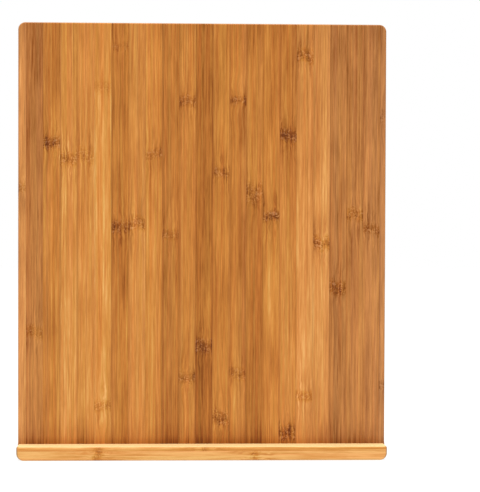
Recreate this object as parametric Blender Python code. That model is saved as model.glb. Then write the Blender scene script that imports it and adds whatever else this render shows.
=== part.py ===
"""A laminated bamboo board with a ledge along its lower front edge and a rail along its upper back edge.

The board stands upright: X is its width, its front faces -Y and Z is up. The origin is at the
bottom, half way across its width and its thickness. All sizes are in metres.
"""

import math

import bmesh
import bpy

# Driving dimensions of the board
BOARD_WIDTH = 0.457
BOARD_HEIGHT = 0.540
BOARD_THICKNESS = 0.0132
CORNER_RADIUS = 0.009
EDGE_ROUND = 0.0018

# The strips that it is glued up from: the width of the first, and of each one after it up to the last
FRONT_FIRST_STAVE = 0.0097
FRONT_STAVES = (0.02115,) * 6 + (0.02086,) * 15
BACK_FIRST_STAVE = 0.016
BACK_STAVES = (0.021,) * 20
GLUE_LINE = 0.0003

# The ledge in front and the rail behind, which have the same section
LEDGE_DEPTH = 0.0154
LEDGE_HEIGHT = 0.0176
LEDGE_ROUND = 0.0028
LEDGE_INNER_CORNER = 0.0026
LEDGE_FACE_CORNER = 0.0045
LEDGE_SEAM_HEIGHT = 0.0120
RAIL_SEAM_HEIGHT = 0.0094

# How finely curves are divided
CORNER_SEGMENTS = 8
ROUND_SEGMENTS = 4
SMOOTH_ANGLE = math.radians(35)

# Colours, as linear red, green and blue
LIGHT_BAMBOO = (0.66, 0.28, 0.072)
HONEY_BAMBOO = (0.60, 0.235, 0.055)
AMBER_BAMBOO = (0.52, 0.19, 0.044)
BROWN_BAMBOO = (0.44, 0.155, 0.038)
CORE_BAMBOO = (0.55, 0.28, 0.115)
PALE_BAMBOO = (0.80, 0.41, 0.13)
FRONT_TONES = {
    LIGHT_BAMBOO: (1, 4, 6, 18, 19),
    HONEY_BAMBOO: (5, 8, 9, 16, 17, 23),
    AMBER_BAMBOO: (2, 3, 7, 11, 13, 14, 21, 22),
    BROWN_BAMBOO: (10, 12, 15, 20),
}
BACK_TONES = (AMBER_BAMBOO, HONEY_BAMBOO, AMBER_BAMBOO, BROWN_BAMBOO, HONEY_BAMBOO)


def clear_scene():
    for item in list(bpy.data.objects):
        bpy.data.objects.remove(item, do_unlink=True)


def bamboo(name, colour):
    """A satin, lightly oiled bamboo of one colour."""
    material = bpy.data.materials.new(name)
    material.use_nodes = True
    shader = material.node_tree.nodes["Principled BSDF"]
    shader.inputs["Base Color"].default_value = (*colour, 1.0)
    shader.inputs["Roughness"].default_value = 0.45
    shader.inputs["Metallic"].default_value = 0.0
    return material


def add_object(name, shape, colour):
    """Turns a bmesh into an object of its own, with its own material."""
    bmesh.ops.recalc_face_normals(shape, faces=shape.faces[:])
    mesh = bpy.data.meshes.new(name)
    shape.to_mesh(mesh)
    shape.free()
    mesh.materials.append(bamboo(name, colour))
    mesh.shade_smooth()
    mesh.set_sharp_from_angle(angle=SMOOTH_ANGLE)
    piece = bpy.data.objects.new(name, mesh)
    bpy.context.scene.collection.objects.link(piece)
    return piece


def fades_in(height, start, end):
    """0 at the start height, 1 at the end height and beyond it, on whichever side that is."""
    return min(1.0, max(0.0, (height - start) / (end - start)))


def outline(low, high, low_corner, high_corner, side_heights=(), inset=0.0):
    """The corners and sides of an upright plate as wide as the board, from height low to height high.

    Each point is (x, z). side_heights adds a point at those heights on both sides. An inset brings all
    of the outline in by that much, and the corner radii are those that it then has.
    """
    half_width = BOARD_WIDTH / 2 - inset
    low_centre = low + inset + low_corner
    high_centre = high - inset - high_corner
    corners = (
        (1, low_centre, low_corner, -90),
        (1, high_centre, high_corner, 0),
        (-1, high_centre, high_corner, 90),
        (-1, low_centre, low_corner, 180),
    )
    points = []
    for side, centre_z, radius, first_angle in corners:
        centre_x = side * (half_width - radius)
        for step in range(CORNER_SEGMENTS + 1):
            angle = math.radians(first_angle + 90 * step / CORNER_SEGMENTS)
            points.append((centre_x + radius * math.cos(angle), centre_z + radius * math.sin(angle)))
        if first_angle == -90:
            points += [(half_width, z) for z in sorted(side_heights)]
        if first_angle == 90:
            points += [(-half_width, z) for z in sorted(side_heights, reverse=True)]
    return points


def plate(points, face_points, inner_y, face_y, edge_round, exposure):
    """A closed plate from inner_y to face_y, whose outline narrows over a rounded edge to face_points.

    It narrows only as far as exposure(z) says, from 0 to 1.
    """
    toward_face = math.copysign(1, face_y - inner_y)
    levels = [(inner_y, 0.0)]
    for step in range(ROUND_SEGMENTS + 1):
        angle = math.pi / 2 * step / ROUND_SEGMENTS
        levels.append((face_y - toward_face * edge_round * (1 - math.sin(angle)), 1 - math.cos(angle)))
    shape = bmesh.new()
    rings = []
    for y, share in levels:
        ring = []
        for (x, z), (face_x, face_z) in zip(points, face_points):
            move = share * exposure(z)
            ring.append(shape.verts.new((x + (face_x - x) * move, y, z + (face_z - z) * move)))
        rings.append(ring)
    for ring, next_ring in zip(rings, rings[1:]):
        for i in range(len(ring)):
            j = (i + 1) % len(ring)
            shape.faces.new((ring[i], ring[j], next_ring[j], next_ring[i]))
    shape.faces.new(rings[0])
    shape.faces.new(rings[-1])
    bmesh.ops.recalc_face_normals(shape, faces=shape.faces[:])
    return shape


def cut_off(shape, point, normal):
    """Cuts away all of the shape on the side of the plane that the normal points to, and caps the cut."""
    geometry = shape.verts[:] + shape.edges[:] + shape.faces[:]
    result = bmesh.ops.bisect_plane(
        shape, geom=geometry, plane_co=point, plane_no=normal, clear_outer=True
    )
    edges = [item for item in result["geom_cut"] if isinstance(item, bmesh.types.BMEdge)]
    if edges:
        bmesh.ops.edgeloop_fill(shape, edges=edges)


def split_into_staves(ply, first_width, widths):
    """A closed body for each stave of a ply, from the left, with a glue line between neighbours."""
    seams = [-BOARD_WIDTH / 2 + first_width]
    for width in widths:
        seams.append(seams[-1] + width)
    outside = BOARD_WIDTH
    lows = [-outside] + [x + GLUE_LINE / 2 for x in seams]
    highs = [x - GLUE_LINE / 2 for x in seams] + [outside]
    staves = []
    for low_x, high_x in zip(lows, highs):
        stave = ply.copy()
        cut_off(stave, (low_x, 0, 0), (-1, 0, 0))
        cut_off(stave, (high_x, 0, 0), (1, 0, 0))
        staves.append(stave)
    ply.free()
    return staves


def board_outlines(side_heights):
    """The board's outline, and the one that its rounded edges leave of a face."""
    face_corner = CORNER_RADIUS - EDGE_ROUND
    return (
        outline(0, BOARD_HEIGHT, CORNER_RADIUS, CORNER_RADIUS, side_heights),
        outline(0, BOARD_HEIGHT, face_corner, face_corner, side_heights, EDGE_ROUND),
    )


def build_front_ply(inner_y, face_y):
    """The front staves. Their edges are rounded down to the ledge, where the rounding fades out."""
    fade_end = LEDGE_HEIGHT + 2 * EDGE_ROUND
    points, face_points = board_outlines((LEDGE_HEIGHT, fade_end))
    ply = plate(
        points, face_points, inner_y, face_y, EDGE_ROUND, lambda z: fades_in(z, LEDGE_HEIGHT, fade_end)
    )
    tone_of = {number: tone for tone, numbers in FRONT_TONES.items() for number in numbers}
    for number, stave in enumerate(split_into_staves(ply, FRONT_FIRST_STAVE, FRONT_STAVES), start=1):
        add_object(f"front_stave_{number:02d}", stave, tone_of[number])


def build_back_ply(inner_y, face_y):
    """The back staves. Their edges are rounded up to the rail, where the rounding fades out."""
    fade_start = BOARD_HEIGHT - LEDGE_HEIGHT
    fade_end = fade_start - 2 * EDGE_ROUND
    points, face_points = board_outlines((fade_start, fade_end))
    ply = plate(
        points, face_points, inner_y, face_y, EDGE_ROUND, lambda z: fades_in(z, fade_start, fade_end)
    )
    for number, stave in enumerate(split_into_staves(ply, BACK_FIRST_STAVE, BACK_STAVES), start=1):
        add_object(f"back_stave_{number:02d}", stave, BACK_TONES[number % len(BACK_TONES)])


def build_core_ply(front_y, back_y):
    """The middle layer, with square edges."""
    points = outline(0, BOARD_HEIGHT, CORNER_RADIUS, CORNER_RADIUS)
    shape = bmesh.new()
    front = [shape.verts.new((x, front_y, z)) for x, z in points]
    face = shape.faces.new(front)
    extruded = bmesh.ops.extrude_face_region(shape, geom=[face], use_keep_orig=True)
    moved = [item for item in extruded["geom"] if isinstance(item, bmesh.types.BMVert)]
    bmesh.ops.translate(shape, verts=moved, vec=(0, back_y - front_y, 0))
    add_object("core_ply", shape, CORE_BAMBOO)


def build_strip_pair(name, low, high, low_corners, high_corners, inner_y, face_y, seam_z):
    """A ledge or rail of two strips, one on the other, from height low to height high.

    The radii of its low and of its high corners are each given at the board and then at the face.
    """
    points = outline(low, high, low_corners[0], high_corners[0])
    face_points = outline(low, high, low_corners[1], high_corners[1], inset=LEDGE_ROUND)
    for strip, cut_z, cut_side in (
        ("upper", seam_z + GLUE_LINE / 2, -1),
        ("lower", seam_z - GLUE_LINE / 2, 1),
    ):
        shape = plate(points, face_points, inner_y, face_y, LEDGE_ROUND, lambda z: 1.0)
        cut_off(shape, (0, 0, cut_z), (0, 0, cut_side))
        add_object(f"{name}_{strip}_strip", shape, PALE_BAMBOO)


def build_board():
    face_y = BOARD_THICKNESS / 2
    ply_thickness = (BOARD_THICKNESS - 2 * GLUE_LINE) / 3
    core_y = ply_thickness / 2
    build_front_ply(-core_y - GLUE_LINE, -face_y)
    build_core_ply(-core_y, core_y)
    build_back_ply(core_y + GLUE_LINE, face_y)

    joint_y = face_y + GLUE_LINE
    edge_y = face_y + LEDGE_DEPTH
    outer_corners = (CORNER_RADIUS, CORNER_RADIUS - LEDGE_ROUND)
    inner_corners = (LEDGE_INNER_CORNER, LEDGE_FACE_CORNER)
    build_strip_pair(
        "ledge", 0, LEDGE_HEIGHT, outer_corners, inner_corners, -joint_y, -edge_y, LEDGE_SEAM_HEIGHT
    )
    build_strip_pair(
        "rail",
        BOARD_HEIGHT - LEDGE_HEIGHT,
        BOARD_HEIGHT,
        inner_corners,
        outer_corners,
        joint_y,
        edge_y,
        BOARD_HEIGHT - RAIL_SEAM_HEIGHT,
    )


clear_scene()
build_board()
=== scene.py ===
"""The looks of a laminated bamboo board with a ledge and a rail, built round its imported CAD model.

The board stands upright: X is its width, its front faces -Y and Z is up. Each strip of bamboo is a
piece of its own, with fibres, glue lines and the knuckles that the culm's joints leave. Sizes are in
metres, apart from the materials' own coordinates, which are in millimetres.
"""

import math
import random
from typing import NamedTuple

import bmesh
import bpy
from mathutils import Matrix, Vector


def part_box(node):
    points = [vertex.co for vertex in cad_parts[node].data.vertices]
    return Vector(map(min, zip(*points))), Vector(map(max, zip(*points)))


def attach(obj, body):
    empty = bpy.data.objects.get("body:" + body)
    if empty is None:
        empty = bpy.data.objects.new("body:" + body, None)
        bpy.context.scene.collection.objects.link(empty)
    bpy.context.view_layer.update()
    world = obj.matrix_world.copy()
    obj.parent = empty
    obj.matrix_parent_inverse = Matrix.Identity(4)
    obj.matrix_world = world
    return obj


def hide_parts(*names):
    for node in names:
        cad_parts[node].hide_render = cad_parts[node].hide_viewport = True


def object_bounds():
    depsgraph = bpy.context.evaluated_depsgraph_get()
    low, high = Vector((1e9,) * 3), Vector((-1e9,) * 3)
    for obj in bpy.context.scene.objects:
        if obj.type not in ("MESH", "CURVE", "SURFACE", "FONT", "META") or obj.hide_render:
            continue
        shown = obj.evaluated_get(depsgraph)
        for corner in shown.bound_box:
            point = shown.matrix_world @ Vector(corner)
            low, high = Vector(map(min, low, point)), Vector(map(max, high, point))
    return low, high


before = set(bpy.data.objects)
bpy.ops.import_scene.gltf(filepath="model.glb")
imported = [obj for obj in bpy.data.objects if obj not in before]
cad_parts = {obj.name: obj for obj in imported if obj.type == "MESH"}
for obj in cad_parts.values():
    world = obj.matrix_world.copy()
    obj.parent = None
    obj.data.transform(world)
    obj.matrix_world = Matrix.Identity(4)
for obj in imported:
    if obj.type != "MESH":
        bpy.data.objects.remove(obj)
CAD_LOW, CAD_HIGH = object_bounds()

# Shapes that the frame's boxes don't say
CORNER_RADIUS = 0.009
EDGE_ROUND = 0.0018
LEDGE_ROUND = 0.0028
LEDGE_INNER_CORNER = 0.0026
LEDGE_FACE_CORNER = 0.0045
SEAM_GAP = 0.00004

# How finely curves are divided
CORNER_SEGMENTS = 20
ROUND_SEGMENTS = 9
FLAT_BORDER = 0.0005
SMOOTH_ANGLE = math.radians(35)
MERGE_DISTANCE = 1e-7

# What the frame does say
HALF_WIDTH = CAD_HIGH.x
BOARD_TOP = CAD_HIGH.z
FRONT_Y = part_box("front_stave_02")[0].y
BACK_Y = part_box("back_stave_02")[1].y
LEDGE_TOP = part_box("ledge_upper_strip")[1].z
RAIL_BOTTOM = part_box("rail_lower_strip")[0].z


class Strip(NamedTuple):
    """How a strip looks. Places are in mm: heights, or distances from the middle in a strip along X."""

    tone: float  # 0 is dark and 1 is light, and the ledge is lighter still
    dullness: float  # from 0, golden, to 1, a duller brown
    drift: float  # how much lighter the foot is than the top
    seam: float  # how dark the glue line on its left is
    knuckles: list  # each one (place, darkness, size in mm)
    stains: list = ()  # each one (place, reach in mm, how much lighter or darker it is)


FRONT_STRIPS = (
    Strip(0.79, 0.60, 0.4, 0.0, [(335, 0.9, 5)]),
    Strip(0.38, 0.45, 0.3, 0.2, [(157, 0.7, 6)], [(430, 30, 0.06)]),
    Strip(0.48, 0.10, 0.3, 0.6, [(391, 1.1, 6)], [(391, 9, -0.08), (400, 26, -0.06), (300, 40, 0.06)]),
    Strip(0.73, 0.15, 0.2, 0.8, [(371, 1.1, 6)], [(230, 55, 0.07)]),
    Strip(0.69, 0.15, 0.0, 0.6, [(376, 0.7, 7)], [(376, 30, 0.05)]),
    Strip(0.89, 0.10, 0.0, 0.4, [(67, 0.9, 5), (459, 0.4, 6)]),
    Strip(0.41, 0.00, 0.3, 0.9, [(287, 0.9, 6), (509, 0.45, 4)], [(215, 32, -0.08), (390, 60, 0.04)]),
    Strip(0.68, 0.20, 0.2, 0.4, [(292, 1.0, 6)], [(292, 9, -0.03), (310, 40, -0.04), (220, 30, 0.07)]),
    Strip(0.66, 0.05, 0.0, 0.4, [(378, 0.7, 5)]),
    Strip(0.38, 0.05, 0.0, 1.0, [(278, 0.7, 5)], [(60, 60, -0.07)]),
    Strip(0.47, 0.10, 0.1, 0.9, [(100, 1.0, 5), (443, 0.85, 6)], [(440, 28, -0.06)]),
    Strip(0.17, 0.00, 0.1, 0.7, [(140, 0.9, 7)], [(115, 30, -0.06)]),
    Strip(0.45, 0.00, 0.0, 1.0, [(50, 1.1, 7), (357, 0.9, 5)], [(400, 40, 0.07)]),
    Strip(0.46, 0.10, 0.1, 0.8, [(105, 0.8, 6), (444, 0.9, 4)], [(250, 55, -0.05), (25, 45, -0.07)]),
    Strip(0.31, 0.05, -0.2, 0.9, [(330, 0.8, 10)], [(385, 50, 0.09)]),
    Strip(0.52, 0.05, 0.3, 0.7, [(302, 1.25, 4.5)], [(130, 45, -0.04)]),
    Strip(
        0.55, 0.10, 0.4, 0.6,
        [(32, 1.1, 7), (402, 1.1, 6)],
        [(402, 9, -0.05), (30, 45, -0.09), (350, 35, 0.05)],
    ),
    Strip(0.81, 0.30, 0.2, 0.4, [(77, 0.9, 5), (500, 1.0, 6)], [(55, 50, -0.05)]),
    Strip(0.79, 0.35, 0.2, 0.6, [(268, 1.2, 6)], [(268, 9, -0.07), (285, 32, -0.07), (210, 32, 0.06)]),
    Strip(0.44, 0.55, 0.0, 0.9, [(213, 0.95, 7)], [(258, 32, 0.08), (40, 40, -0.07)]),
    Strip(0.41, 0.50, 0.2, 0.8, [(303, 0.9, 6)], [(303, 14, 0.06), (225, 50, -0.05), (85, 45, -0.06)]),
    Strip(0.45, 0.60, 0.2, 0.6, [(285, 0.9, 5)], [(355, 60, 0.07)]),
    Strip(0.47, 0.90, 0.2, 0.3, [(90, 0.9, 5), (427, 0.7, 6)], [(427, 16, 0.07)]),
)
LEDGE_UPPER = Strip(
    1.08, 0.16, 0.0, 0.0,
    [(-127, 0.8, 4), (3, 1.1, 3)],
    [(-127, 4, -0.10), (3, 9, -0.14)],
)
LEDGE_LOWER = Strip(
    1.20, 0.22, 0.0, 0.0,
    [(-127, 1.1, 4), (64, 1.0, 4)],
    [(-127, 5, -0.13), (67, 9, -0.10)],
)
RAIL_UPPER = Strip(0.80, 0.45, 0.0, 0.0, [(-58, 0.6, 4), (171, 0.5, 4)])
RAIL_LOWER = Strip(0.84, 0.40, 0.0, 0.0, [(92, 0.6, 4)])
CORE = Strip(0.72, 0.70, 0.0, 0.0, [(118, 0.3, 5), (402, 0.3, 5)])

# The back's strips: their tones in turn, and the ranges that the rest is drawn from
BACK_TONES = (0.45, 0.62, 0.40, 0.28, 0.58)
BACK_TONE_CHANGES = (-0.08, 0.08)
BACK_DULLNESS = (0.05, 0.5)
BACK_DRIFTS = (-0.15, 0.25)
BACK_SEAMS = (0.1, 0.9)
BACK_KNUCKLE_HEIGHTS = (30, 260)
BACK_KNUCKLE_SPACINGS = (230, 270)
BACK_KNUCKLE_DARKNESS = (0.5, 1.0)
BACK_KNUCKLE_SIZES = (5, 7)
BACK_UPPER_KNUCKLE_SIZE = 5.5

# Where each group's random draws start
FRONT_SEED = 1
BACK_STRIPS_SEED = 11
BACK_SEED = 31
CORE_SEED = 70
LEDGE_SEED = 80
RAIL_SEED = 90

# Marks from broad bands that run the whole length down to single fibres, as noise: its width across
# the fibres and its length along them, in mm, and its detail
FIBRE_MARKS = {
    "bands": (5.5, 900, 1),
    "streaks": (2.2, 260, 2),
    "flames": (2.4, 42, 1),
    "licks": (1.5, 13, 1),
    "fibres": (1.6, 50, 3),
    "hairs": (0.55, 12, 2),
    "redness": (2.8, 240, 1),
    "dullness": (3.6, 700, 1),
}
PATCHES = (40, 110, 1)
NOISE_ROUGHNESS = 0.55

# How far in mm the grain of a strip is moved, at random, so that no two strips are the same
GRAIN_OFFSETS = (-900, 900)

# The dark bundles of fibres: the width and length of their cells in mm, and where in a cell they fade
BUNDLE_CELL = (1.5, 130)
BUNDLE_FADE = (0.10, 0.42)

# The noises that shape a knuckle, in the same way, and how far each moves it or its fibres, in mm, or
# for the fan in mm for each mm away from it. The worms' noise has its distortion last.
KNUCKLE_RAGGED = (2.2, 90, 1)
RAGGED_DISTANCE = 9.0
KNUCKLE_WAVE = (9.0, 400, 0)
WAVE_DISTANCE = 11.0
FIBRE_FAN = (6.0, 500, 0)
FAN_SPREAD = 0.6
FIBRE_WOBBLE = (3.2, 10.0, 1)
WOBBLE_DISTANCE = 4.0
KNUCKLE_WORMS = (3.1, 2.7, 1, 1.2)
RIDGE_WANDER = 14.0

# Where in the worms' noise the dark ones come in, and the light flecks go out
DARK_WORMS = (-0.04, 0.10)
LIGHT_FLECKS = (-0.16, -0.05)

# Where parts of a knuckle fade out, from its middle: its core in sizes, the others in mm
CORE_FADE = (0.50, 1.9)
HALO_FADE = (3.0, 42.0)
RIDGE_FADE = (0.7, 2.4)

# What each kind of mark adds to the tone, the roughness and the relief
TONE_CHANGES = {
    "bands": 0.22,
    "streaks": 0.38,
    "flames": 0.30,
    "fibres": 0.58,
    "hairs": 0.32,
    "patches": 0.40,
    "bundles": -0.05,
    "knuckle_flames": 0.50,
    "knuckle_licks": 0.35,
    "knuckle_worms": -0.14,
    "knuckle_core": -0.09,
    "knuckle_halo": -0.04,
    "knuckle_ridge": -0.07,
    "knuckle_flecks": 0.06,
}
ROUGHNESS_CHANGES = {
    "fibres": 0.30,
    "bundles": -0.05,
    "knuckle_core": 0.10,
    "end_on": 0.16,
    "worn": -0.05,
}
RELIEF_CHANGES = {
    "fibres": 0.9,
    "hairs": 0.7,
    "bundles": -0.35,
    "knuckle_relief": -1.6,
}

# Painted shade against the ledge and the rail, and towards the top: how far it reaches in mm, how much
# it darkens the tone, and how much of it the board's sides have
CORNER_REACH = 36
CORNER_DARKNESS = 0.16
CREASE_REACH = 12
CREASE_DARKNESS = 0.12
# Painted shade towards the top, where the light falls off
TOP_REACH = 80
TOP_DARKNESS = 0.07
SIDE_SHADE = 0.25

# How squarely a surface looks along an axis, from 0 to 1, where each look comes in and where it is
# complete. RIM_ENDS_FACING is where the painted shade on the rims goes out again.
FACE_FACING = (0.3, 0.9)
SIDE_FACING = (0.70, 0.98)
END_FACING = (0.45, 0.95)
UPPER_FACING = (0.55, 0.95)
RIM_FACING = (0.10, 0.50)
RIM_ENDS_FACING = (0.80, 0.995)
WORN_FACING = (0.985, 0.80)

# Bamboo from dark to light: each tone and its colour, as linear red, green and blue
TONE_RAMP = (
    (0.00, (0.130, 0.028, 0.0015)),
    (0.20, (0.236, 0.063, 0.0040)),
    (0.37, (0.373, 0.123, 0.0165)),
    (0.55, (0.492, 0.179, 0.0280)),
    (0.74, (0.612, 0.248, 0.0460)),
    (0.86, (0.678, 0.323, 0.0800)),
    (1.00, (0.768, 0.428, 0.1380)),
)

# The tones that strips of tone 0 and 1 have, and how many reaches away a stain has faded out
DARKEST_STRIP = 0.30
LIGHTEST_STRIP = 0.80
STAIN_FADE = 1.4

# Dull colour, as a grey times this, and how much of it each cause adds, dark tones among them
DULL_COLOUR = (1.93, 0.81, 0.29)
DULLEST = 0.8
DULL_SPREAD = 0.5
KNUCKLE_DULLNESS = -0.7
DARK_DULLNESS = -0.30
DARK_TONES = (0.15, 0.44)

# Tints that fibres vary between, and the flecks in knuckles
RED_TINT = (1.03, 0.93, 0.90, 1.0)
YELLOW_TINT = (0.98, 1.05, 1.02, 1.0)
TINT_SPREAD = 3.0
FLECK = (0.80, 0.45, 0.24, 1.0)
FLECK_SHARE = 0.16

# Glue lines: their widths in mm, and the noise that breaks them up
GLUE_COLOUR = (0.19, 0.050, 0.006, 1.0)
GLUE_SHARE = 0.40
GLUE_WIDTH = 1.5
DARK_GLUE_WIDTH = 2.0
NEXT_GLUE_WIDTH = 1.4
GLUE_BREAKS = (4.0, 70, 2)
GLUE_LEVEL = 0.75
GLUE_SPREAD = 1.6

# Sawn sides and end grain, with the noise that mottles it
SAWN_TINT = (0.86, 1.00, 1.26, 1.0)
END_GRAIN = (0.335, 0.190, 0.095)
OILED_END_GRAIN = (0.190, 0.110, 0.050)
END_GRAIN_SHADES = (0.80, 1.2)
END_GRAIN_SHARE = 0.80
MOTTLE = (3.5, 300, 2)
MOTTLE_SPREAD = 1.6
SPECKS = (1.1, 300, 1)
SPECK_SPREAD = 0.8
PORE_COLOUR = (0.12, 0.055, 0.022, 1.0)
PORE_SHARE = 0.45

# Edges that handling has rubbed, painted shade on the ledge's and rail's end rims, and a painted
# highlight that makes the upper face paler
WORN_COLOUR = (0.34, 0.205, 0.095, 1.0)
WORN_SHARE = 0.34
WORN_SHARE_ALONG_X = 0.15
# Painted shade on the rounded rims at the ends, which turn away from the light
RIM_SHADE_COLOUR = (0.25, 0.135, 0.055, 1.0)
RIM_SHADE_SHARE = 0.45
# A painted highlight: the upper face paler, where the top light falls on it
PAINTED_HIGHLIGHT_COLOUR = (0.86, 0.62, 0.30, 1.0)
PAINTED_HIGHLIGHT_SHARE = 0.8

# Surface
ROUGHNESS = 0.43
SPECULAR = 0.15
BUMP_STRENGTH = 0.35
BUMP_DEPTH = 0.00025

# The materials' coordinates are in mm, and a metre has this many
MM = 1000

# The camera and the lights
CAMERA_PLACE = (-0.0536, -1.150, 0.2805)
CAMERA_TILT = math.radians(-0.71)
CAMERA_TURN = math.radians(-1.22)
CAMERA_LENS = 67.4
CAMERA_ROLL = math.radians(-0.155)
CAMERA_SHIFT = (0.124, -0.0040)
STUDIO_WHITE = 1.0
TOP_LIGHT_WATTS = 38.0
TOP_LIGHT_PLACE = (0.0, -0.12, 1.9)
TOP_LIGHT_SIZE = (1.6, 0.6)
FLOOR_SIZE = 12.0
FLOOR_COLOUR = 0.20
FLOOR_GLOW = 0.82
FLOOR_ROUGHNESS = 0.9
FLOOR_DROP = 0.0002


# ---- meshes ----

def fades_in(height, start, end):
    """0 at the start height, 1 at the end height and beyond it, on whichever side that is."""
    return min(1.0, max(0.0, (height - start) / (end - start)))


def outline(low, high, low_corner, high_corner, side_heights=(), inset=0.0):
    """Corners and sides of an upright plate as wide as the board, as (x, z).

    An inset brings all of the outline in by that much, and the corner radii are those that it then has.
    """
    half_width = HALF_WIDTH - inset
    low_centre = low + inset + low_corner
    high_centre = high - inset - high_corner
    corners = (
        (1, low_centre, low_corner, -90),
        (1, high_centre, high_corner, 0),
        (-1, high_centre, high_corner, 90),
        (-1, low_centre, low_corner, 180),
    )
    points = []
    for side, centre_z, radius, first_angle in corners:
        centre_x = side * (half_width - radius)
        for step in range(CORNER_SEGMENTS + 1):
            angle = math.radians(first_angle + 90 * step / CORNER_SEGMENTS)
            points.append((centre_x + radius * math.cos(angle), centre_z + radius * math.sin(angle)))
        if first_angle == -90:
            points += [(half_width, z) for z in sorted(side_heights)]
        if first_angle == 90:
            points += [(-half_width, z) for z in sorted(side_heights, reverse=True)]
    return points


def plate(points, face_points, inner_y, face_y, edge_round, exposure):
    """A closed plate from inner_y to face_y, whose outline narrows over a rounded edge to face_points.

    It narrows only as far as exposure(z) says, from 0 to 1. A narrow flat border inside the rounding
    keeps the shading of the flat face flat.
    """
    toward_face = math.copysign(1, face_y - inner_y)
    levels = [(inner_y, 0.0)]
    for step in range(ROUND_SEGMENTS + 1):
        angle = math.pi / 2 * step / ROUND_SEGMENTS
        levels.append((face_y - toward_face * edge_round * (1 - math.sin(angle)), 1 - math.cos(angle)))
    levels.append((face_y, 1 + FLAT_BORDER / edge_round))
    shape = bmesh.new()
    rings = []
    for y, share in levels:
        ring = []
        for (x, z), (face_x, face_z) in zip(points, face_points):
            move = share * exposure(z)
            ring.append(shape.verts.new((x + (face_x - x) * move, y, z + (face_z - z) * move)))
        rings.append(ring)
    for ring, next_ring in zip(rings, rings[1:]):
        for i in range(len(ring)):
            j = (i + 1) % len(ring)
            shape.faces.new((ring[i], ring[j], next_ring[j], next_ring[i]))
    shape.faces.new(rings[0])
    shape.faces.new(rings[-1])
    bmesh.ops.remove_doubles(shape, verts=shape.verts[:], dist=MERGE_DISTANCE)
    bmesh.ops.recalc_face_normals(shape, faces=shape.faces[:])
    return shape


def cut_off(shape, point, normal):
    """Cuts away all of the shape on the side of the plane that the normal points to, and caps the cut."""
    geometry = shape.verts[:] + shape.edges[:] + shape.faces[:]
    result = bmesh.ops.bisect_plane(
        shape, geom=geometry, plane_co=point, plane_no=normal, clear_outer=True
    )
    edges = [item for item in result["geom_cut"] if isinstance(item, bmesh.types.BMEdge)]
    if edges:
        bmesh.ops.edgeloop_fill(shape, edges=edges)


def add_piece(node, shape, material):
    """Turns a bmesh into the piece that stands for a CAD node."""
    bmesh.ops.recalc_face_normals(shape, faces=shape.faces[:])
    name = "bamboo_" + node
    mesh = bpy.data.meshes.new(name)
    shape.to_mesh(mesh)
    shape.free()
    mesh.materials.append(material)
    mesh.shade_smooth()
    mesh.set_sharp_from_angle(angle=SMOOTH_ANGLE)
    piece = bpy.data.objects.new(name, mesh)
    bpy.context.scene.collection.objects.link(piece)
    normals = piece.modifiers.new("Flat faces stay flat", "WEIGHTED_NORMAL")
    normals.keep_sharp = True
    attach(piece, "root")
    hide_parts(node)
    return piece


# ---- bamboo ----

class Shading:
    """One material's nodes. Each method adds what it needs and returns the output, or all of them."""

    def __init__(self, name):
        self.material = bpy.data.materials.new(name)
        self.material.use_nodes = True
        self.tree = self.material.node_tree
        self.shader = self.tree.nodes["Principled BSDF"]

    def add(self, kind, inputs, output=0, **settings):
        node = self.tree.nodes.new("ShaderNode" + kind)
        for setting, value in settings.items():
            setattr(node, setting, value)
        for socket, value in inputs.items():
            if isinstance(value, bpy.types.NodeSocket):
                self.tree.links.new(value, node.inputs[socket])
            else:
                node.inputs[socket].default_value = value
        return node.outputs[output]

    def math(self, operation, *values, clamp=False):
        return self.add("Math", dict(enumerate(values)), operation=operation, use_clamp=clamp)

    def plus(self, *terms):
        total = terms[0]
        for term in terms[1:]:
            total = self.math("ADD", total, term)
        return total

    def times(self, *factors):
        product = factors[0]
        for factor in factors[1:]:
            product = self.math("MULTIPLY", product, factor)
        return product

    def largest(self, first, *others):
        for other in others:
            first = self.math("MAXIMUM", first, other)
        return first

    def clamped(self, value):
        return self.math("MAXIMUM", value, 0.0, clamp=True)

    def step(self, value, start, end, low=0.0, high=1.0):
        """Goes smoothly from low, where the value is at start, to high at end."""
        inputs = {"Value": value, "From Min": start, "From Max": end, "To Min": low, "To Max": high}
        return self.add("MapRange", inputs, interpolation_type="SMOOTHSTEP")

    def split(self, vector):
        """The vector's X, Y and Z."""
        node = self.tree.nodes.new("ShaderNodeSeparateXYZ")
        self.tree.links.new(vector, node.inputs[0])
        return list(node.outputs)

    def moved(self, vector, offset):
        return self.add("VectorMath", {0: vector, 1: offset}, operation="ADD")

    def scaled(self, vector, factors):
        return self.add("VectorMath", {0: vector, 1: factors}, operation="MULTIPLY")

    def noise(self, vector, width, length, detail, distortion=0.0):
        """Noise about 0, from -0.5 to 0.5, whose blobs are width mm across the fibres, length along."""
        inputs = {
            "Vector": self.scaled(vector, (1 / width, 1 / width, 1 / length)),
            "Scale": 1.0,
            "Detail": detail,
            "Roughness": NOISE_ROUGHNESS,
            "Distortion": distortion,
        }
        value = self.add("TexNoise", inputs)
        return self.math("SUBTRACT", value, 0.5)

    def changes(self, marks, shares):
        """Each mark that has a share, times its share."""
        return [self.times(marks[name], share) for name, share in shares.items()]

    def blend(self, factor, first, second, mode="MIX"):
        inputs = {"Factor": factor, 6: first, 7: second}
        return self.add("Mix", inputs, output=2, data_type="RGBA", blend_type=mode)

    def ramp(self, value, colours):
        """The colour that a value has on a ramp of (position, colour)."""
        node = self.tree.nodes.new("ShaderNodeValToRGB")
        self.tree.links.new(value, node.inputs[0])
        stops = node.color_ramp.elements
        while len(stops) < len(colours):
            stops.new(0.5)
        for stop, (position, colour) in zip(stops, colours):
            stop.position = position
            stop.color = (*colour, 1.0)
        return node.outputs[0]


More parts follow.
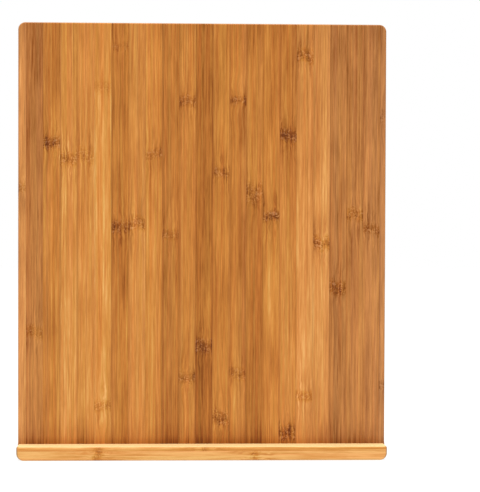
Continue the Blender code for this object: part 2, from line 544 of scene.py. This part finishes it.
def fibre_coordinates(nodes, along_x, seed):
    """(grain, across, along), in mm. grain has Z along the fibres and is moved by the seed."""
    place = nodes.scaled(nodes.add("TexCoord", {}, output=3), (MM, MM, MM))
    across, depth, along = nodes.split(place)
    if along_x:
        across, along = along, across
        place = nodes.add("CombineXYZ", {0: across, 1: depth, 2: along})
    draw = random.Random(seed)
    grain = nodes.moved(place, [draw.uniform(*GRAIN_OFFSETS) for _ in range(3)])
    return grain, across, along


def nearest_knuckle(nodes, along, knuckles):
    """(place, darkness, size) of whichever knuckle is the nearest, as outputs or plain numbers."""
    knuckles = sorted(knuckles)
    place, darkness, size = knuckles[0]
    for (low, *_), (high, next_darkness, next_size) in zip(knuckles, knuckles[1:]):
        beyond = nodes.math("GREATER_THAN", along, (low + high) / 2)
        place = nodes.step(beyond, 0, 1, place, high)
        darkness = nodes.step(beyond, 0, 1, darkness, next_darkness)
        size = nodes.step(beyond, 0, 1, size, next_size)
    return place, darkness, size


def find_marks(nodes, grain, along, knuckles):
    """Every mark in a strip, by its name: those of its nearest knuckle, and the fibres that it bends."""
    # A knuckle is a ragged band across the strip, with the fibres fanned out above and below it
    place, darkness, size = nearest_knuckle(nodes, along, knuckles)
    ragged = nodes.plus(
        nodes.times(nodes.noise(grain, *KNUCKLE_RAGGED), RAGGED_DISTANCE),
        nodes.times(nodes.noise(grain, *KNUCKLE_WAVE), WAVE_DISTANCE),
    )
    offset = nodes.plus(nodes.math("SUBTRACT", along, place), ragged)
    away = nodes.math("ABSOLUTE", offset)
    core = nodes.times(nodes.step(nodes.math("DIVIDE", away, size), *CORE_FADE, 1.0, 0.0), darkness)
    halo = nodes.times(nodes.step(away, *HALO_FADE, 1.0, 0.0), darkness)
    fan = nodes.times(nodes.noise(grain, *FIBRE_FAN), away, FAN_SPREAD)
    wobble = nodes.times(nodes.noise(grain, *FIBRE_WOBBLE), WOBBLE_DISTANCE)
    push = nodes.times(nodes.plus(fan, wobble), halo)
    bent = nodes.moved(grain, nodes.add("CombineXYZ", {0: push}))

    marks = {name: nodes.noise(bent, *texture) for name, texture in FIBRE_MARKS.items()}
    marks["patches"] = nodes.noise(grain, *PATCHES)
    width, length = BUNDLE_CELL
    cells = nodes.scaled(bent, (1 / width, 1 / width, 1 / length))
    distance = nodes.add("TexVoronoi", {"Vector": cells, "Scale": 1.0}, feature="F1")
    marks["bundles"] = nodes.step(distance, *BUNDLE_FADE, 1.0, 0.0)

    # Inside the band, dark worms, light flecks and a thin dark ridge
    worms = nodes.noise(grain, *KNUCKLE_WORMS)
    ridge_offset = nodes.math("ABSOLUTE", nodes.plus(offset, nodes.times(worms, RIDGE_WANDER)))
    marks["knuckle_core"] = core
    marks["knuckle_halo"] = halo
    marks["knuckle_flames"] = nodes.times(halo, marks["flames"])
    marks["knuckle_licks"] = nodes.times(halo, marks["licks"])
    marks["knuckle_worms"] = nodes.times(core, nodes.step(worms, *DARK_WORMS))
    marks["knuckle_flecks"] = nodes.times(nodes.step(worms, *LIGHT_FLECKS, 1.0, 0.0), core)
    marks["knuckle_ridge"] = nodes.times(core, nodes.step(ridge_offset, *RIDGE_FADE, 1.0, 0.0))
    marks["knuckle_relief"] = nodes.times(core, worms)
    return marks


def tone_of(nodes, strip, along, marks):
    """How light the strip is at each place, from 0 to 1."""
    tone_range = LIGHTEST_STRIP - DARKEST_STRIP
    half_drift = strip.drift * tone_range / 2
    drift = nodes.step(along, BOARD_TOP * MM, 0.0, -half_drift, half_drift)
    stains = []
    for place, reach, change in strip.stains:
        distance = nodes.math("ABSOLUTE", nodes.math("SUBTRACT", along, place))
        stains.append(nodes.step(distance, 0.0, reach * STAIN_FADE, change, 0.0))
    strip_tone = DARKEST_STRIP + tone_range * strip.tone
    return nodes.plus(strip_tone, drift, *stains, *nodes.changes(marks, TONE_CHANGES))


def with_painted_shade(nodes, tone, along, facing_y, corner):
    """The tone with painted shade in the corner at the ledge or rail, and towards the top."""
    height, direction = corner
    # Painted shade: darker close to the ledge or rail, where the corner lies in shade
    corner_shade = nodes.plus(
        nodes.step(along, height, height + direction * CORNER_REACH, CORNER_DARKNESS, 0.0),
        nodes.step(along, height, height + direction * CREASE_REACH, CREASE_DARKNESS, 0.0),
    )
    on_face = nodes.step(facing_y, *FACE_FACING, SIDE_SHADE, 1.0)
    top = BOARD_TOP * MM
    # The last term darkens the top: painted shade, as the light falls off towards it
    return nodes.plus(
        tone,
        nodes.times(corner_shade, on_face, -1.0),
        nodes.step(along, top - TOP_REACH, top, 0.0, -TOP_DARKNESS),
    )


def coloured(nodes, tone, dullness, marks):
    """The colour for a tone, with redder and yellower fibres, and duller ones in some strips."""
    colour = nodes.ramp(tone, TONE_RAMP)
    yellowness = nodes.plus(0.5, nodes.times(marks["redness"], TINT_SPREAD))
    tint = nodes.blend(nodes.clamped(yellowness), RED_TINT, YELLOW_TINT)
    colour = nodes.blend(1.0, colour, tint, "MULTIPLY")
    dull = nodes.plus(
        dullness * DULLEST,
        nodes.times(marks["dullness"], DULL_SPREAD),
        nodes.times(marks["knuckle_core"], KNUCKLE_DULLNESS * (1 - dullness)),
        nodes.step(tone, *DARK_TONES, DARK_DULLNESS, 0.0),
    )
    grey = nodes.add("RGBToBW", {0: colour})
    dull_colour = nodes.scaled(nodes.add("CombineXYZ", {0: grey, 1: grey, 2: grey}), DULL_COLOUR)
    colour = nodes.blend(nodes.clamped(dull), colour, dull_colour)
    return nodes.blend(nodes.times(marks["knuckle_flecks"], FLECK_SHARE), colour, FLECK)


def glued(nodes, colour, grain, across, sides, seam, next_seam):
    """The colour with a broken dark glue line at each side."""
    low, high = sides
    broken = nodes.plus(GLUE_LEVEL, nodes.times(nodes.noise(grain, *GLUE_BREAKS), GLUE_SPREAD))
    left_end = low + GLUE_WIDTH + DARK_GLUE_WIDTH * seam
    left = nodes.times(nodes.step(across, low, left_end, 1.0, 0.0), seam)
    right = nodes.times(nodes.step(across, high - NEXT_GLUE_WIDTH, high), next_seam)
    glue = nodes.times(nodes.largest(left, right), broken, GLUE_SHARE)
    return nodes.blend(nodes.clamped(glue), colour, GLUE_COLOUR)


def end_grained(nodes, colour, grain, marks, end_grain):
    """The colour with mottled end grain and its dark pores where the strip's ends show."""
    mottled = nodes.plus(
        0.5,
        nodes.times(nodes.noise(grain, *MOTTLE), MOTTLE_SPREAD),
        nodes.times(nodes.noise(grain, *SPECKS), SPECK_SPREAD),
    )
    darker, lighter = [(*[shade * part for part in end_grain], 1.0) for shade in END_GRAIN_SHADES]
    sawn = nodes.blend(mottled, darker, lighter)
    pores = nodes.blend(nodes.times(marks["bundles"], PORE_SHARE), sawn, PORE_COLOUR)
    return nodes.blend(nodes.times(marks["end_on"], END_GRAIN_SHARE), colour, pores)


def bamboo(name, strip, seed, sides=None, next_seam=0.0, corner=None, along_x=False, painted_lit_top=False):
    """Bamboo for one strip, which is upright unless it is along X.

    sides are where its glue lines are across it, in mm, and next_seam is how dark the right one is.
    corner is (height, direction): where it meets the ledge or rail, and whether it goes on up, 1, or
    down, -1, from there; that corner gets painted shade. The last flag paints its upper face paler, a
    painted highlight.
    """
    nodes = Shading(name)
    grain, across, along = fibre_coordinates(nodes, along_x, seed)
    normal = nodes.split(nodes.add("TexCoord", {}, output=1))
    facing = [nodes.math("ABSOLUTE", part) for part in normal]
    marks = find_marks(nodes, grain, along, strip.knuckles)
    marks["end_on"] = nodes.step(facing[0 if along_x else 2], *END_FACING)
    marks["worn"] = nodes.step(nodes.largest(*facing), *WORN_FACING)

    tone = tone_of(nodes, strip, along, marks)
    if corner:
        # Painted shade in the corner at the ledge or rail, and towards the top
        tone = with_painted_shade(nodes, tone, along, facing[1], corner)
    colour = coloured(nodes, tone, strip.dullness, marks)
    if sides:
        colour = glued(nodes, colour, grain, across, sides, strip.seam, next_seam)

    # Sawn sides, end grain, and edges that handling has rubbed
    if along_x:
        colour = end_grained(nodes, colour, grain, marks, END_GRAIN)
        colour = nodes.blend(nodes.times(marks["worn"], WORN_SHARE_ALONG_X), colour, WORN_COLOUR)
        # Painted shade: the rounded rims at the ends are darker, as they turn away from the light
        painted_rim_shade = nodes.times(
            nodes.step(facing[0], *RIM_FACING),
            nodes.step(facing[0], *RIM_ENDS_FACING, 1.0, 0.0),
        )
        colour = nodes.blend(nodes.times(painted_rim_shade, RIM_SHADE_SHARE), colour, RIM_SHADE_COLOUR)
    else:
        side_on = nodes.step(facing[0], *SIDE_FACING)
        colour = nodes.blend(side_on, colour, nodes.blend(1.0, colour, SAWN_TINT, "MULTIPLY"))
        colour = end_grained(nodes, colour, grain, marks, OILED_END_GRAIN)
        colour = nodes.blend(nodes.times(marks["worn"], WORN_SHARE), colour, WORN_COLOUR)
    # A painted highlight: the upper face paler, where the top light falls on it
    if painted_lit_top:
        upper = nodes.step(normal[2], *UPPER_FACING, 0.0, PAINTED_HIGHLIGHT_SHARE)
        colour = nodes.blend(upper, colour, PAINTED_HIGHLIGHT_COLOUR)

    roughness = nodes.plus(ROUGHNESS, *nodes.changes(marks, ROUGHNESS_CHANGES))
    relief = nodes.plus(*nodes.changes(marks, RELIEF_CHANGES))
    bump = nodes.add("Bump", {"Strength": BUMP_STRENGTH, "Distance": BUMP_DEPTH, "Height": relief})
    nodes.tree.links.new(colour, nodes.shader.inputs["Base Color"])
    nodes.tree.links.new(roughness, nodes.shader.inputs["Roughness"])
    nodes.tree.links.new(bump, nodes.shader.inputs["Normal"])
    nodes.shader.inputs["Specular IOR Level"].default_value = SPECULAR
    return nodes.material


# ---- the board ----

def build_ply(staves, strips, inner_y, face_y, fade_start, fade_end, first_seed):
    """A face of strips side by side, each its own piece.

    Its edges are square as far as fade_start and rounded from fade_end on, be that above or below.
    """
    fade = (fade_start, fade_end)
    face_corner = CORNER_RADIUS - EDGE_ROUND
    points = outline(0, BOARD_TOP, CORNER_RADIUS, CORNER_RADIUS, fade)
    face_points = outline(0, BOARD_TOP, face_corner, face_corner, fade, EDGE_ROUND)
    ply = plate(points, face_points, inner_y, face_y, EDGE_ROUND, lambda z: fades_in(z, *fade))
    # Where the painted shade in the corner starts, and which way it goes
    corner = (fade_start * MM, math.copysign(1, fade_end - fade_start))
    boxes = [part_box(stave) for stave in staves]
    seams = [(left[1].x + right[0].x) / 2 for left, right in zip(boxes, boxes[1:])]
    lows = [-HALF_WIDTH] + [x + SEAM_GAP / 2 for x in seams]
    highs = [x - SEAM_GAP / 2 for x in seams] + [HALF_WIDTH]
    next_seams = [strip.seam for strip in strips[1:]] + [0.0]
    for i, stave in enumerate(staves):
        shape = ply.copy()
        if i > 0:
            cut_off(shape, (lows[i], 0, 0), (-1, 0, 0))
        if i < len(staves) - 1:
            cut_off(shape, (highs[i], 0, 0), (1, 0, 0))
        sides = (lows[i] * MM, highs[i] * MM)
        material = bamboo("bamboo " + stave, strips[i], first_seed + i, sides, next_seams[i], corner)
        add_piece(stave, shape, material)
    ply.free()


def back_strips(count):
    """Strips for the back: like the front's, with two knuckles in each at random heights."""
    draw = random.Random(BACK_STRIPS_SEED)
    strips = []
    for i in range(count):
        low = draw.uniform(*BACK_KNUCKLE_HEIGHTS)
        lower_knuckle = (low, draw.uniform(*BACK_KNUCKLE_DARKNESS), draw.uniform(*BACK_KNUCKLE_SIZES))
        high = low + draw.uniform(*BACK_KNUCKLE_SPACINGS)
        upper_knuckle = (high, draw.uniform(*BACK_KNUCKLE_DARKNESS), BACK_UPPER_KNUCKLE_SIZE)
        tone = BACK_TONES[(i + 1) % len(BACK_TONES)] + draw.uniform(*BACK_TONE_CHANGES)
        seam = draw.uniform(*BACK_SEAMS) if i else 0.0
        dullness = draw.uniform(*BACK_DULLNESS)
        drift = draw.uniform(*BACK_DRIFTS)
        strips.append(Strip(tone, dullness, drift, seam, [lower_knuckle, upper_knuckle]))
    return strips


def build_core(front_y, back_y):
    """The middle layer, which shows only at the board's edges."""
    points = outline(0, BOARD_TOP, CORNER_RADIUS, CORNER_RADIUS)
    shape = bmesh.new()
    front = [shape.verts.new((x, front_y, z)) for x, z in points]
    back = [shape.verts.new((x, back_y, z)) for x, z in points]
    shape.faces.new(front)
    shape.faces.new(back)
    for i in range(len(points)):
        j = (i + 1) % len(points)
        shape.faces.new((front[i], front[j], back[j], back[i]))
    add_piece("core_ply", shape, bamboo("bamboo core_ply", CORE, CORE_SEED))


def build_strip_pair(
    name, looks, low, high, low_corners, high_corners, inner_y, face_y, first_seed, painted_lit_top=False
):
    """A ledge or rail of two strips, one on the other, with its grain along X.

    The radii of its low and of its high corners are each given at the board and then at the face.
    """
    lower = f"{name}_lower_strip"
    upper = f"{name}_upper_strip"
    upper_look, lower_look = looks
    seam_z = (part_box(lower)[1].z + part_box(upper)[0].z) / 2
    points = outline(low, high, low_corners[0], high_corners[0])
    face_points = outline(low, high, low_corners[1], high_corners[1], inset=LEDGE_ROUND)
    for i, (node, look, cut_z, cut_side) in enumerate((
        (upper, upper_look, seam_z + SEAM_GAP / 2, -1),
        (lower, lower_look, seam_z - SEAM_GAP / 2, 1),
    )):
        shape = plate(points, face_points, inner_y, face_y, LEDGE_ROUND, lambda z: 1.0)
        cut_off(shape, (0, 0, cut_z), (0, 0, cut_side))
        material = bamboo("bamboo " + node, look, first_seed + i, along_x=True, painted_lit_top=painted_lit_top)
        add_piece(node, shape, material)


def build_board():
    front_nodes = sorted(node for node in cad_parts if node.startswith("front_stave"))
    back_nodes = sorted(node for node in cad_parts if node.startswith("back_stave"))
    front_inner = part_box("front_stave_02")[1].y
    back_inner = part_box("back_stave_02")[0].y
    core_low, core_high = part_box("core_ply")
    front_joint = (front_inner + core_low.y) / 2
    back_joint = (back_inner + core_high.y) / 2
    fade = 2 * EDGE_ROUND
    outer_corners = (CORNER_RADIUS, CORNER_RADIUS - LEDGE_ROUND)
    inner_corners = (LEDGE_INNER_CORNER, LEDGE_FACE_CORNER)
    build_ply(
        front_nodes, FRONT_STRIPS, front_joint - SEAM_GAP / 2, FRONT_Y,
        LEDGE_TOP, LEDGE_TOP + fade, FRONT_SEED,
    )
    build_strip_pair(
        "ledge", (LEDGE_UPPER, LEDGE_LOWER), 0, LEDGE_TOP, outer_corners, inner_corners,
        FRONT_Y - SEAM_GAP, CAD_LOW.y, LEDGE_SEED, painted_lit_top=True,
    )
    build_core(front_joint + SEAM_GAP / 2, back_joint - SEAM_GAP / 2)
    build_ply(
        back_nodes, back_strips(len(back_nodes)), back_joint + SEAM_GAP / 2, BACK_Y,
        RAIL_BOTTOM, RAIL_BOTTOM - fade, BACK_SEED,
    )
    build_strip_pair(
        "rail", (RAIL_UPPER, RAIL_LOWER), RAIL_BOTTOM, BOARD_TOP, inner_corners, outer_corners,
        BACK_Y + SEAM_GAP, CAD_HIGH.y, RAIL_SEED,
    )


# ---- the studio ----

def build_floor():
    half = FLOOR_SIZE / 2
    corners = [(-half, -half, 0), (half, -half, 0), (half, half, 0), (-half, half, 0)]
    mesh = bpy.data.meshes.new("floor")
    mesh.from_pydata(corners, [], [(0, 1, 2, 3)])
    material = bpy.data.materials.new("white floor")
    material.use_nodes = True
    shader = material.node_tree.nodes["Principled BSDF"]
    shader.inputs["Base Color"].default_value = (FLOOR_COLOUR, FLOOR_COLOUR, FLOOR_COLOUR, 1.0)
    shader.inputs["Roughness"].default_value = FLOOR_ROUGHNESS
    shader.inputs["Specular IOR Level"].default_value = 0.0
    shader.inputs["Emission Color"].default_value = (1.0, 1.0, 1.0, 1.0)
    shader.inputs["Emission Strength"].default_value = FLOOR_GLOW
    mesh.materials.append(material)
    floor = bpy.data.objects.new("floor", mesh)
    floor.location.z = -FLOOR_DROP
    bpy.context.scene.collection.objects.link(floor)


def build_lights():
    world = bpy.data.worlds.new("studio")
    world.use_nodes = True
    background = world.node_tree.nodes["Background"]
    background.inputs["Color"].default_value = (1.0, 1.0, 1.0, 1.0)
    background.inputs["Strength"].default_value = STUDIO_WHITE
    bpy.context.scene.world = world
    light = bpy.data.lights.new("top softbox", "AREA")
    light.shape = "RECTANGLE"
    light.size, light.size_y = TOP_LIGHT_SIZE
    light.energy = TOP_LIGHT_WATTS
    softbox = bpy.data.objects.new("top softbox", light)
    softbox.location = TOP_LIGHT_PLACE
    bpy.context.scene.collection.objects.link(softbox)


def build_camera():
    camera = bpy.data.objects.new("camera", bpy.data.cameras.new("camera"))
    camera.location = CAMERA_PLACE
    camera.rotation_euler = (math.pi / 2 + CAMERA_TILT, CAMERA_ROLL, CAMERA_TURN)
    camera.data.lens = CAMERA_LENS
    camera.data.shift_x, camera.data.shift_y = CAMERA_SHIFT
    bpy.context.scene.collection.objects.link(camera)
    bpy.context.scene.camera = camera
    bpy.context.scene.view_settings.view_transform = "Standard"


build_board()
build_floor()
build_lights()
build_camera()
